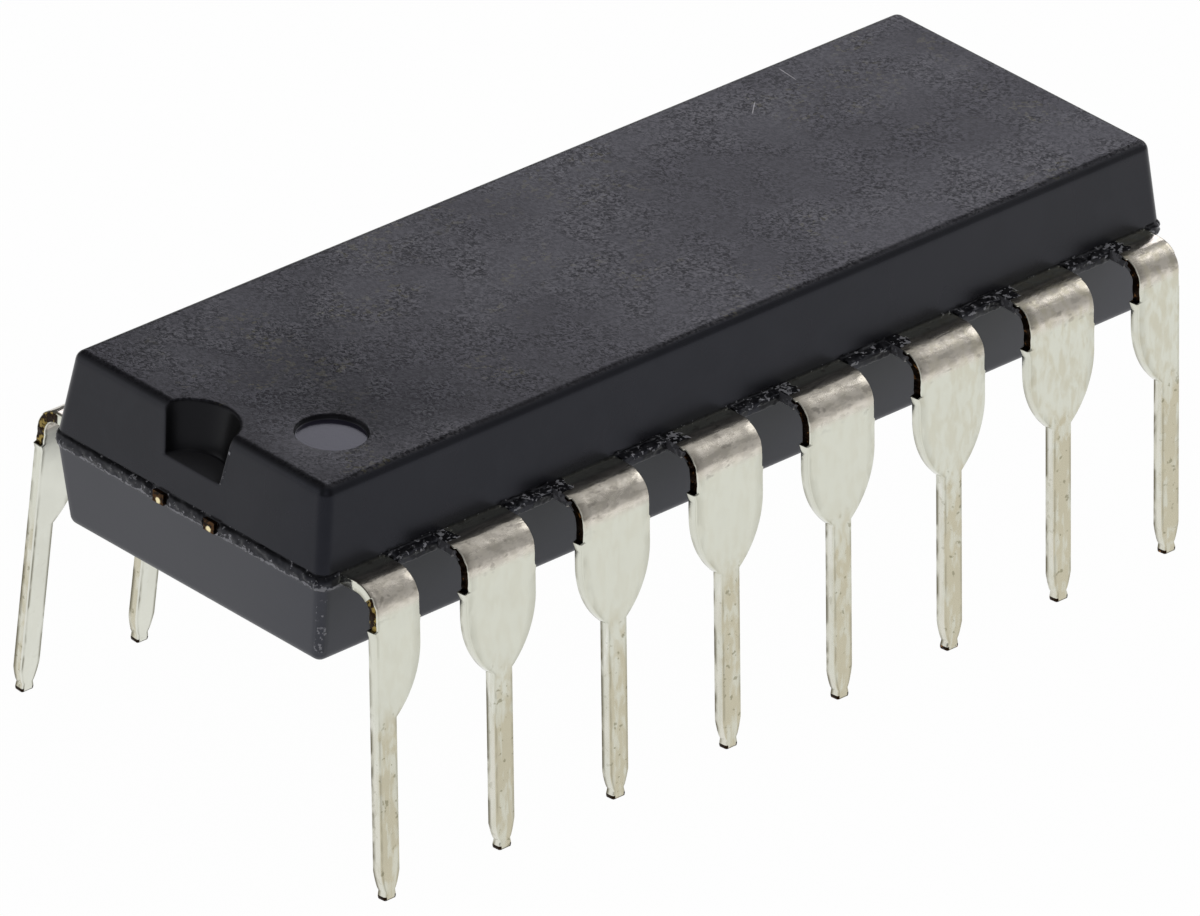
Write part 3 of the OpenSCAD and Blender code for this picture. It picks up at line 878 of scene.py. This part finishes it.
class Shader(Tree):
    """A material with one principled surface."""

    def __init__(self, name, colour, metallic, roughness, **constants):
        self.material = bpy.data.materials.new(name)
        self.material.use_nodes = True
        super().__init__(self.material.node_tree)
        self.surface = self.tree.nodes["Principled BSDF"]
        self.surface.inputs["Base Color"].default_value = (*colour, 1)
        self.surface.inputs["Metallic"].default_value = metallic
        self.surface.inputs["Roughness"].default_value = roughness
        for key, value in constants.items():
            self.surface.inputs[key.replace("_", " ")].default_value = value
        self.place = self.tree.nodes.new("ShaderNodeTexCoord").outputs["Object"]

    def noise(self, scale, detail=2.0, rough=0.5, distortion=0.0, place=None):
        values = {
            "Vector": place or self.place, "Scale": scale, "Detail": detail, "Roughness": rough,
            "Distortion": distortion}
        return self.node("ShaderNodeTexNoise", values).outputs["Fac"]

    def stretch(self, scale, place=None):
        values = {"Vector": place or self.place, "Scale": scale}
        return self.node("ShaderNodeMapping", values).outputs["Vector"]

    def band(self, value, low, high, out_low=0.0, out_high=1.0):
        values = {"Value": value, "From Min": low, "From Max": high, "To Min": out_low, "To Max": out_high}
        return self.node("ShaderNodeMapRange", values, interpolation_type="SMOOTHSTEP").outputs["Result"]

    def mix(self, factor, a, b):
        n = self.node("ShaderNodeMix", data_type="RGBA")
        for socket, value in ((n.inputs[0], factor), (n.inputs[6], a), (n.inputs[7], b)):
            if isinstance(value, bpy.types.NodeSocket):
                self.tree.links.new(value, socket)
            else:
                socket.default_value = (*value, 1) if isinstance(value, tuple) else value
        return n.outputs[2]

    def attribute(self, name):
        return self.node("ShaderNodeAttribute", attribute_name=name).outputs["Fac"]

    def bump(self, height, distance, strength=1.0, normal=None):
        values = {"Height": height, "Distance": distance, "Strength": strength}
        if normal is not None:
            values["Normal"] = normal
        return self.node("ShaderNodeBump", values).outputs["Normal"]

    def scratch(self, start, end, width):
        """1 within width of the straight line between two points of the top face, in metres:
        a Mapping node turns the line along X and its half length and the width become 1."""
        run = Vector(end) - Vector(start)
        middle = (Vector(start) + Vector(end)) / 2
        values = {
            "Vector": self.place, "Location": (*middle, BODY_HIGH[2]),
            "Rotation": (0, 0, math.atan2(run.y, run.x)), "Scale": (run.length / 2, width, 1)}
        local = self.node("ShaderNodeMapping", values, vector_type="TEXTURE").outputs["Vector"]
        x, y, z = self.node("ShaderNodeSeparateXYZ", {"Vector": local}).outputs
        across = self.band(self.math("ABSOLUTE", y), 0.4, 1.0, 1.0, 0.0)
        along = self.band(self.math("ABSOLUTE", x), 0.5, 1.0, 1.0, 0.0)
        on_top = self.band(z, -0.0001, -0.00001)
        return self.times(self.times(across, along), on_top)

    def set(self, key, socket):
        self.tree.links.new(socket, self.surface.inputs[key])


def shade(colour, factor):
    """A colour times a factor."""
    return tuple(float(c) * factor for c in colour)


def epoxy_material(f):
    """Moulding compound: a fine grain in patches on the top face with brown specks, pale crumbs,
    and black painted shade in the pits and the groove of the flash. Painted shade darkens the
    notch's wall; painted light makes its floor, the pockets' walls and the flash's front paler.
    The lower mould half is duller and paler, partly its own finish and partly painted light from
    the floor."""
    base = tuple(f.epoxy)
    m = Shader("moulding_compound", base, 0.0, 0.38, IOR=1.42)
    torn, pit, polish, dark = (m.attribute(key) for key in ("torn", "pit", "polish", "dark"))
    x, y, level = m.node("ShaderNodeSeparateXYZ", {"Vector": m.place}).outputs
    lower = m.band(level, FRAME_LOW, FRAME_LOW + 0.15 * MM, 1.0, 0.0)
    top = m.times(m.band(level, BODY_HIGH[2] - 0.05 * MM, BODY_HIGH[2] - 0.005 * MM), m.without(polish))
    stipple = m.noise(15000, 2, 0.6, 0.7)
    patches = m.noise(1100, 3, 0.55, 0.3)
    cloud = m.noise(380, 3, 0.5)
    clusters = m.band(m.noise(650, 2, 0.6), 0.52, 0.62)
    specks = m.times(m.band(m.noise(9000, 2, 0.5), 0.55, 0.64), m.times(clusters, top))
    colour = m.mix(m.band(patches, 0.4, 0.6), shade(base, 0.8), shade(base, 1.2))
    # Below the seam the colour is paler: partly its own finish, partly painted light from the floor.
    colour = m.mix(lower, colour, tuple(f.lower))
    colour = m.mix(m.times(specks, 0.6), colour, linear(80, 76, 46))
    colour = m.mix(polish, colour, linear(44, 42, 54))
    # Painted shade: the notch's wall almost black. Painted light: the notch's floor, the pockets' walls and
    # the flash's front paler.
    colour = m.mix(m.times(dark, 0.9), colour, linear(12, 12, 13))
    colour = m.mix(m.band(dark, -0.2, -0.8), colour, linear(46, 46, 48))
    fine = m.noise(12000, 3, 0.55)
    # Painted shade: black in the groove and the pits of the flash.
    colour = m.mix(m.times(pit, m.band(m.noise(9000, 2, 0.5), 0.47, 0.53)), colour, linear(13, 13, 15))
    crumbs = m.times(m.band(torn, 0.02, 0.15), m.band(m.times_add(torn, 0.2, fine), 0.63, 0.7))
    colour = m.mix(crumbs, colour, tuple(f.torn))
    for start, end in SCRATCHES:
        colour = m.mix(m.scratch(start, end, 0.012 * MM), colour, linear(190, 188, 190))
    m.set("Base Color", colour)
    # Mirror-like part: grained in patches on the top face, weakened in the notch and the pits as painted
    # shade.
    amount = m.times(top, m.band(patches, 0.36, 0.62, 0.3, 1.0))
    # The walls' sheen rises away from the near corner.
    away = m.larger(m.band(x, -3 * MM, 10 * MM), m.band(y, -3.2 * MM, -1.0 * MM))
    plain = m.mix(away, (0.60, 0.63, 0.80), (0.84, 0.86, 1.0))
    plain = m.mix(top, plain, (0.80, 0.79, 0.95))
    low, high = m.mix(amount, plain, (0.34, 0.33, 0.47)), m.mix(amount, plain, (0.93, 0.91, 1.0))
    sheen = m.mix(m.band(stipple, 0.36, 0.64), low, high)
    sheen = m.mix(m.times(m.band(cloud, 0.42, 0.6), top), sheen, (0.54, 0.52, 0.66))
    shadow = m.larger(m.times(dark, 0.75), m.times(pit, 0.6))
    m.set("Specular Tint", m.mix(shadow, sheen, (0.3, 0.3, 0.32)))
    # The top face reflects less towards its notched end and the edge over leads 1 to 8, and
    # unevenly where it is grained.
    dull = m.times(m.band(x, -8 * MM, 3 * MM, 1.0, 0.2), m.band(y, -3.0 * MM, -0.5 * MM, 0.5, 0.0))
    end = m.times(m.band(x, -9.2 * MM, -7.6 * MM, 0.7, 0.0), m.band(y, -0.5 * MM, 2.0 * MM, 1.0, 0.2))
    dull = m.larger(m.larger(dull, end), 0.2)
    uneven = m.times(m.math("SUBTRACT", m.band(stipple, 0.34, 0.66), 0.5), amount)
    index = m.times_add(m.times(dull, top), -0.13, m.times_add(uneven, 0.38, 1.42))
    index = m.times_add(lower, 0.18, index)
    m.set("IOR", m.times_add(polish, -0.05, index))
    rough = m.add(m.band(cloud, 0.3, 0.7, 0.26, 0.3), m.times(top, 0.09))
    rough = m.add(rough, m.times(m.add(torn, lower), 0.12))
    rough = m.math("SUBTRACT", rough, m.times(polish, 0.08))
    m.set("Roughness", rough)
    height = m.times(stipple, m.add(m.times(amount, 0.4), 0.05))
    normal = m.bump(height, 0.02 * MM, 0.8)
    normal = m.bump(m.times(fine, m.add(torn, 0.03)), 0.03 * MM, 0.8, normal)
    m.set("Normal", normal)
    return m.material


def plating_material(f):
    """Tin over copper: a wavy, warmer bend with grey spots, tarnish on the blades in soft patches
    drawn out along them, and bare metal with a few bright spots where it was sheared, on all but
    lead 1 almost black, partly dark copper and partly painted shade of the gap beside each lead.
    Painted highlights streak the flanks, painted shade darkens their back edges, and the flash on
    them is painted paler as painted light."""
    base = tuple(f.plating)
    m = Shader("tin_plating", base, 1.0, 0.34)
    along = m.node("ShaderNodeUVMap", {}, uv_map="along").outputs["UV"]
    distance = m.node("ShaderNodeSeparateXYZ", {"Vector": along}).outputs["Y"]
    bare, film, rim, inner, worn, flank = (
        m.attribute(key) for key in ("bare", "film", "rim", "inner", "worn", "flank"))
    on_blade = m.without(m.band(distance, *BLADE_TO_SHOULDER))
    on_bend = m.times(m.band(distance, *SHOULDER_TO_BEND), m.without(m.band(distance, *BEND_TO_RUN)))
    drawn = m.stretch((1.0, 1.0, 0.45))
    x = m.node("ShaderNodeSeparateXYZ", {"Vector": m.place}).outputs["X"]
    patches = m.band(m.noise(6500, 3, 0.5, 0.3, drawn), 0.4, 0.66)
    streaks = m.band(m.noise(9000, 3, 0.5, 0.2, m.stretch((1.0, 1.0, 0.12))), 0.38, 0.62, 0.3, 1.0)
    # The lower end of the blade is tarnished along its length, its top and the shoulders of
    # leads 6 to 8 in patches.
    low_end = m.band(m.times_add(m.noise(500, 2), 3.0, distance), 5.2, 3.4)
    patchy = m.times_add(on_blade, 0.6, m.band(x, 1 * MM, 6 * MM, 0.14, 0.55))
    tarnish = m.times_add(low_end, streaks, m.times(patches, patchy))
    tarnish = m.times(m.math("MINIMUM", tarnish, 1.0), worn)
    dirt = m.band(m.noise(4500, 2, 0.5, 0.0, drawn), 0.38, 0.56, 0.15, 0.9)
    edges = m.times(m.times(rim, m.times_add(on_blade, 0.5, 0.5)), dirt)
    colour = m.mix(m.times(inner, 0.85), base, linear(236, 237, 227))
    # Painted highlight: pale streaks along the flanks, most on the blades.
    pale = m.times(m.times(flank, streaks), m.times_add(on_blade, 0.7, 0.15))
    colour = m.mix(pale, colour, linear(243, 243, 236))
    upper = m.times(on_bend, m.without(flank))
    colour = m.mix(m.times(upper, 0.8), colour, linear(230, 221, 210))
    mottled = m.band(m.noise(8000, 3, 0.6, 0.0, m.stretch((0.5, 1.0, 1.0))), 0.42, 0.6)
    colour = m.mix(m.times(upper, m.times(mottled, 0.5)), colour, linear(176, 170, 160))
    colour = m.mix(tarnish, colour, tuple(f.tarnish))
    spots = m.times(m.band(m.noise(8000, 2, 0.5), 0.63, 0.7), m.times(worn, on_blade))
    colour = m.mix(m.times(spots, 0.75), colour, linear(142, 138, 112))
    # Dirt on the edges, and painted shade along the flanks' back edges.
    colour = m.mix(m.times(edges, 0.8), colour, linear(112, 107, 86))
    grey = m.band(m.noise(7000, 2, 0.5, 0.0, m.stretch((0.6, 1.0, 1.0))), 0.6, 0.7)
    grey = m.times(grey, m.band(distance, 4.9, 5.15))
    colour = m.mix(m.times(grey, 0.5), colour, linear(140, 134, 126))
    # The cut of lead 1 faces open space and shows golden copper; on the others it is almost black, partly
    # dark copper and partly painted shade of the gap beside each lead.
    golden = m.band(x, column_x(1) - 0.1 * MM, column_x(1) - 0.18 * MM)
    spots = m.times_add(golden, 0.09, m.noise(8500, 3, 0.6))
    copper = m.mix(golden, tuple(f.copper), linear(150, 130, 72))
    copper = m.mix(m.band(spots, 0.6, 0.7), shade(f.copper, 0.035), copper)
    bare = m.band(bare, 0.15, 0.6)
    colour = m.mix(bare, colour, copper)
    film = m.band(m.add(film, m.band(m.noise(7000, 2), 0.35, 0.65, -0.2, 0.2)), 0.4, 0.5)
    crumbs = m.mix(m.band(m.noise(12000, 2, 0.55), 0.52, 0.58), tuple(f.epoxy), tuple(f.torn))
    # Painted light: on the flank the flash is a paler grey, against the flank's shade.
    crumbs = m.mix(m.times(flank, 0.7), crumbs, linear(112, 112, 118))
    colour = m.mix(film, colour, crumbs)
    m.set("Base Color", colour)
    m.set("Metallic", m.without(film))
    rough = m.band(m.noise(2600, 3, 0.5), 0.3, 0.7, 0.13, 0.2)
    rough = m.add(rough, m.times(tarnish, 0.12))
    rough = m.add(rough, m.times(inner, 0.2))
    lower_bend = m.times(on_bend, m.band(distance, 5.3, 5.6, 1.0, 0.0))
    rough = m.add(rough, m.times(lower_bend, 0.14))
    rough = m.add(rough, m.times(bare, 0.12))
    m.set("Roughness", rough)
    waves = m.noise(6000, 2, 0.5, 0.5, m.stretch((0.35, 1.0, 1.0)))
    normal = m.bump(m.times(waves, m.add(m.times(on_bend, 0.6), 0.15)), 0.014 * MM, 0.8)
    normal = m.bump(m.times(m.noise(24000, 3, 0.6), m.add(bare, 0.12)), 0.012 * MM, 0.6, normal)
    m.set("Normal", normal)
    return m.material


def copper_material(f):
    """Cut ends of the frame: dark brown copper, darkened further as painted shade of the small pits the ends
    lie in, with a painted highlight low on each tie bar's end.
    """
    m = Shader("frame_copper", tuple(f.copper), 1.0, 0.38)
    folded = m.node("ShaderNodeVectorMath", {0: m.place}, operation="ABSOLUTE").outputs[0]
    spot = {0: folded, 1: (BODY_HIGH[0], TIE_Y, FRAME_LOW + 0.05 * MM)}
    away = m.node("ShaderNodeVectorMath", spot, operation="DISTANCE").outputs["Value"]
    # Painted highlight: a pale glint low on each tie bar's end.
    bright = m.band(m.add(away, m.times(m.noise(16000, 2), 0.06 * MM)), 0.1 * MM, 0.07 * MM)
    # Painted shade: the ends darkened to brown-black.
    dull = m.mix(m.band(m.noise(14000, 2), 0.42, 0.58), shade(f.copper, 0.02), shade(f.copper, 0.16))
    m.set("Base Color", m.mix(bright, dull, linear(250, 236, 190)))
    return m.material


def plain_materials(f):
    """Finishes of the parts inside the moulding."""
    silicon = Shader("polished_silicon", tuple(f.silicon), 0.6, 0.18).material
    bond = Shader("silver_epoxy", linear(176, 176, 178), 0.7, 0.45).material
    gold = Shader("gold_wire", tuple(f.gold), 1.0, 0.2).material
    return silicon, bond, gold


# Operators.


class PACKAGE_OT_body(bpy.types.Operator):
    """Mould the epoxy body with its notch, dot, ejector marks and flash"""

    bl_idname = "package.body"
    bl_label = "Mould body"

    def execute(self, context):
        body = body_mesh(context.scene.package_moulding)
        body.data.materials.append(epoxy_material(context.scene.package_finish))
        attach(body, "root")
        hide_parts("body")
        return {"FINISHED"}


class PACKAGE_OT_leads(bpy.types.Operator):
    """Form the sixteen plated leads"""

    bl_idname = "package.leads"
    bl_label = "Form leads"

    def execute(self, context):
        p = context.scene.package_leads
        wall_y = BODY_HIGH[1] - context.scene.package_moulding.dam_flash
        plating = plating_material(context.scene.package_finish)
        for number in range(1, 2 * PER_ROW + 1):
            lead = lead_object(p, number, wall_y)
            lead.data.materials.append(plating)
            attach(lead, "root")
            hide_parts(f"lead_{number}")
        return {"FINISHED"}


class PACKAGE_OT_inside(bpy.types.Operator):
    """Finish the die pad, the die and the bond wires"""

    bl_idname = "package.inside"
    bl_label = "Finish inner parts"

    def execute(self, context):
        f = context.scene.package_finish
        silicon, bond, gold = plain_materials(f)
        finishes = {
            "die_pad": (copper_material(f), "copper_frame"),
            "die_attach": (bond, "die_bond"),
            "die": (silicon, "silicon"),
        }
        for number in range(1, 2 * PER_ROW + 1):
            finishes[f"bond_wire_{number}"] = (gold, "gold_wire")
        for name, (material, slot) in finishes.items():
            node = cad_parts[name]
            node.data.materials.clear()
            node.data.materials.append(material)
        return {"FINISHED"}


def toward(azimuth, elevation):
    """Direction with the given azimuth from -Y towards +X and elevation over the floor."""
    level = math.cos(elevation)
    return math.sin(azimuth) * level, -math.cos(azimuth) * level, math.sin(elevation)


def plane(name, half, z):
    """Level square of the given half side."""
    points = np.array([(-half, -half, z), (half, -half, z), (half, half, z), (-half, half, z)])
    return build(name, points, [np.array([[0, 1, 2, 3]])])


class PACKAGE_OT_stage(bpy.types.Operator):
    """Set the floor, the surroundings, the lamps and the camera"""

    bl_idname = "package.stage"
    bl_label = "Set stage"

    def execute(self, context):
        s = context.scene.package_stage
        scene = context.scene
        floor = plane("floor", 0.6, 0.0)
        m = Shader("white_floor", (0.8, 0.8, 0.8), 0.0, 0.9)
        ray = m.node("ShaderNodeLightPath")
        bounced = m.larger(ray.outputs["Is Glossy Ray"], ray.outputs["Is Transmission Ray"])
        seen = m.larger(m.times(bounced, FLOOR_MIRRORED), m.times(ray.outputs["Is Camera Ray"], FLOOR_SEEN))
        glow = m.node("ShaderNodeEmission", {"Color": (1, 1, 1, 1), "Strength": 1.0})
        blend = m.node("ShaderNodeMixShader")
        m.link(seen, blend.inputs[0])
        m.link(m.surface.outputs[0], blend.inputs[1])
        m.link(glow.outputs[0], blend.inputs[2])
        m.link(blend.outputs[0], m.tree.nodes["Material Output"].inputs["Surface"])
        floor.data.materials.append(m.material)
        world = bpy.data.worlds.new("studio")
        world.use_nodes = True
        scene.world = world
        self.surroundings(Tree(world.node_tree), s.sky)
        for name, place, size, power, colour in LAMPS:
            self.lamp(name, place, size, power * s.key, colour)
        data = bpy.data.cameras.new("camera")
        data.lens, data.sensor_width = s.lens, 36
        data.clip_start, data.clip_end = 0.01, 10
        camera = bpy.data.objects.new("camera", data)
        scene.collection.objects.link(camera)
        back = Vector(toward(s.azimuth, s.elevation))
        level = Vector((math.cos(s.azimuth), math.sin(s.azimuth), 0))
        right = level * math.cos(s.roll) + back.cross(level) * math.sin(s.roll)
        up = back.cross(right)
        camera.matrix_world = Matrix.Translation(s.camera) @ Matrix((right, up, back)).transposed().to_4x4()
        scene.camera = camera
        scene.view_settings.view_transform = "Standard"
        return {"FINISHED"}

    def surroundings(self, t, strength):
        """Even surroundings plus wide soft lights, each as strong as the larger of 0 and the cosine
        of the angle from its middle, to the eighth power. Plain white where seen directly."""
        t.tree.nodes.clear()
        direction = t.node("ShaderNodeTexCoord").outputs["Generated"]
        total = SURROUND
        for azimuth, elevation, light in SOFT_LIGHTS:
            pair = {0: direction, 1: toward(math.radians(azimuth), math.radians(elevation))}
            cosine = t.node("ShaderNodeVectorMath", pair, operation="DOT_PRODUCT").outputs["Value"]
            lobe = t.math("POWER", t.larger(cosine, 0.0), 8.0)
            total = t.times_add(lobe, light, total)
        studio = t.node("ShaderNodeBackground", {"Color": total, "Strength": strength})
        white = t.node("ShaderNodeBackground", {"Color": (1, 1, 1, 1), "Strength": 1.0})
        mix = t.node("ShaderNodeMixShader")
        t.link(t.node("ShaderNodeLightPath").outputs["Is Camera Ray"], mix.inputs[0])
        t.link(studio.outputs[0], mix.inputs[1])
        t.link(white.outputs[0], mix.inputs[2])
        t.link(mix.outputs[0], t.node("ShaderNodeOutputWorld").inputs["Surface"])

    def lamp(self, name, place, size, power, colour):
        data = bpy.data.lights.new(name, "AREA")
        data.shape, data.size, data.energy, data.color = "DISK", size, power, colour
        lamp = bpy.data.objects.new(name, data)
        lamp.location = place
        lamp.rotation_euler = (Vector(place) - Vector(LAMPS_AIM)).to_track_quat("Z", "Y").to_euler()
        bpy.context.scene.collection.objects.link(lamp)


class PACKAGE_PT_panel(bpy.types.Panel):
    """Sizes and steps of the package"""

    bl_label = "Package"
    bl_idname = "PACKAGE_PT_panel"
    bl_space_type = "VIEW_3D"
    bl_region_type = "UI"
    bl_category = "Package"

    def draw(self, context):
        for key in GROUPS:
            group = getattr(context.scene, key)
            column = self.layout.column(align=True)
            for name in group.__annotations__:
                column.prop(group, name)
        for step in STEPS:
            self.layout.operator(step.bl_idname)


GROUPS = {
    "package_moulding": PackageMoulding,
    "package_leads": PackageLeads,
    "package_finish": PackageFinish,
    "package_stage": PackageStage,
}
STEPS = (PACKAGE_OT_body, PACKAGE_OT_leads, PACKAGE_OT_inside, PACKAGE_OT_stage)


def register():
    for cls in (*GROUPS.values(), *STEPS, PACKAGE_PT_panel):
        bpy.utils.register_class(cls)
    for key, group in GROUPS.items():
        setattr(bpy.types.Scene, key, PointerProperty(type=group))


def unregister():
    for key in GROUPS:
        delattr(bpy.types.Scene, key)
    for cls in reversed((*GROUPS.values(), *STEPS, PACKAGE_PT_panel)):
        bpy.utils.unregister_class(cls)


def main():
    register()
    bpy.ops.package.body()
    bpy.ops.package.leads()
    bpy.ops.package.inside()
    bpy.ops.package.stage()


if __name__ == "__main__":
    main()
